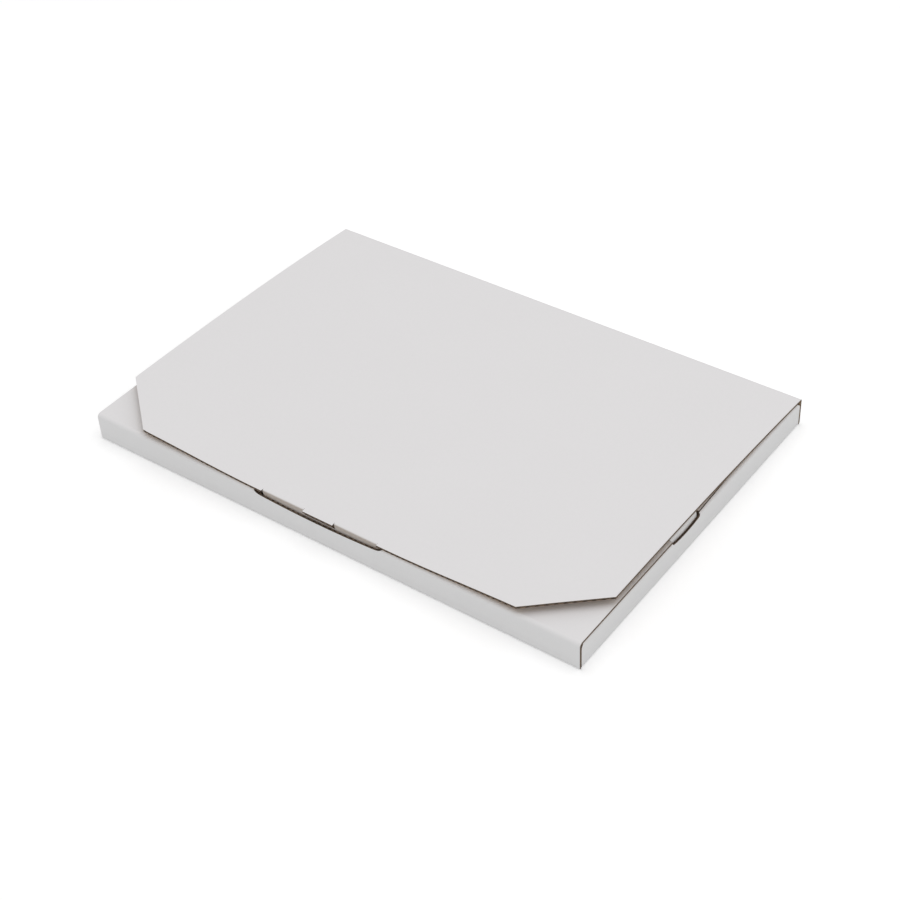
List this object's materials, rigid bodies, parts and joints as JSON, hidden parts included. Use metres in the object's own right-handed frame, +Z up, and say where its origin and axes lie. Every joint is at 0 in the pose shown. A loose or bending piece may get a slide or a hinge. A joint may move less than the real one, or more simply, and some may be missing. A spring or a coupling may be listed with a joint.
{
  "type": "flat mailer box",
  "caption": "Flat white mailer box folded from thin corrugated board, with a bowed hinged lid whose tongue tucks into a slot in the front fold.",
  "frame": {"origin": "middle of the underside, on the surface that the box stands on", "axes": "+X along the front wall to the right, +Y from the front wall to the hinge edge, +Z up"},
  "size_m": [0.35, 0.244, 0.025],
  "materials": {
    "white_lined_board": "matt white outer liner, brown kraft inside and at the cut edges",
    "white_lined_board_lid": "matt white outer liner, brown kraft inside and at the cut edges"
  },
  "bodies": {
    "tray": {"tray": "white_lined_board"},
    "lid": {"lid": "white_lined_board_lid"}
  },
  "joints": [
    {"name": "lid_hinge", "type": "hinge", "parent": "tray", "child": "lid", "pos_m": [0, 0.12125, 0.01825], "axis": [-1, 0, 0], "range_deg": [0, 180]}
  ]
}
